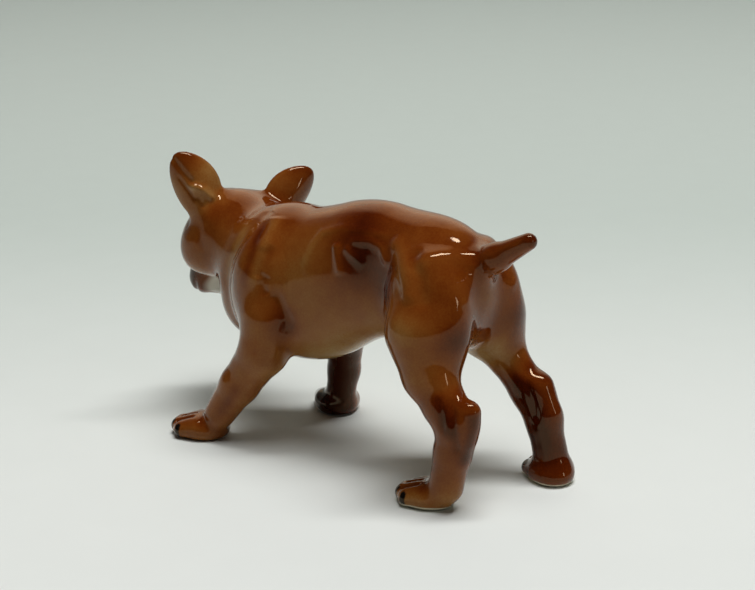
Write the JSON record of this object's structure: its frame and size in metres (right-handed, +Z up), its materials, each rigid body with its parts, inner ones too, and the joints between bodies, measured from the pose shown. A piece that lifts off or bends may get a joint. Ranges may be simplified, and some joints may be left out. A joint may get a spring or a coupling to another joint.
{
  "type": "dog figurine",
  "caption": "Glazed ceramic figurine of a prick-eared bulldog walking with its head low and turned, made to stand on a shelf as an ornament.",
  "frame": {"origin": "on the surface it stands on, under the middle of its bounding box", "axes": "+Z up, the dog faces -Y with its tail towards +Y, its left side is +X"},
  "size_m": [0.0544, 0.1242, 0.0746],
  "materials": {
    "chestnut_glaze": "clear gloss glaze over sprayed chestnut brown",
    "head_glaze": "clear gloss glaze over chestnut brown, with a dark muzzle and a white throat"
  },
  "bodies": {
    "root": {"trunk": "chestnut_glaze", "head": "head_glaze", "tail": "chestnut_glaze", "left_ear": "head_glaze", "right_ear": "head_glaze", "front_left_leg": "chestnut_glaze", "front_right_leg": "chestnut_glaze", "hind_left_leg": "chestnut_glaze", "hind_right_leg": "chestnut_glaze"}
  },
  "joints": []
}
